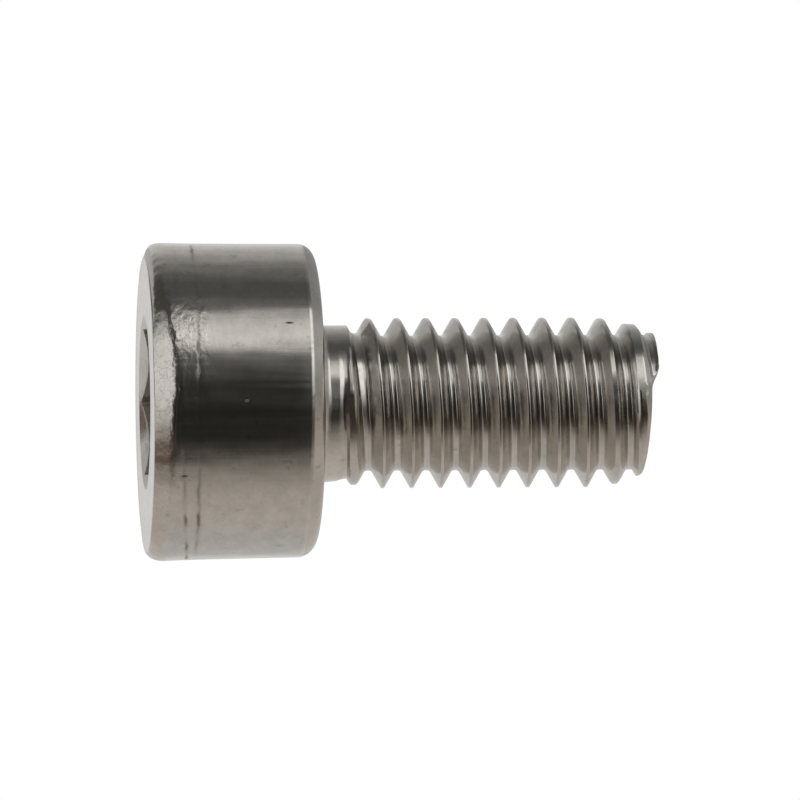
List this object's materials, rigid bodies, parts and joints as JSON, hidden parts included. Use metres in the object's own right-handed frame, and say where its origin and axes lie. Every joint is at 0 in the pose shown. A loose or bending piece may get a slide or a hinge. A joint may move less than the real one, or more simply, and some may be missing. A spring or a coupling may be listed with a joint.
{
  "type": "socket head cap screw",
  "caption": "Short stainless cap screw with a tall round head, a hexagon socket for a key and a right-hand rolled metric thread that runs close to the head.",
  "frame": {"origin": "centre of the socket face, on which the screw stands", "axes": "+Z along the screw's axis, from the socket face to the tip; two corners of the hexagon lie on the Y axis"},
  "size_m": [0.0054, 0.0054, 0.0088],
  "materials": {
    "stainless": "bright cold-formed stainless steel with faint drawing streaks"
  },
  "bodies": {
    "root": {"screw": "stainless"}
  },
  "joints": []
}
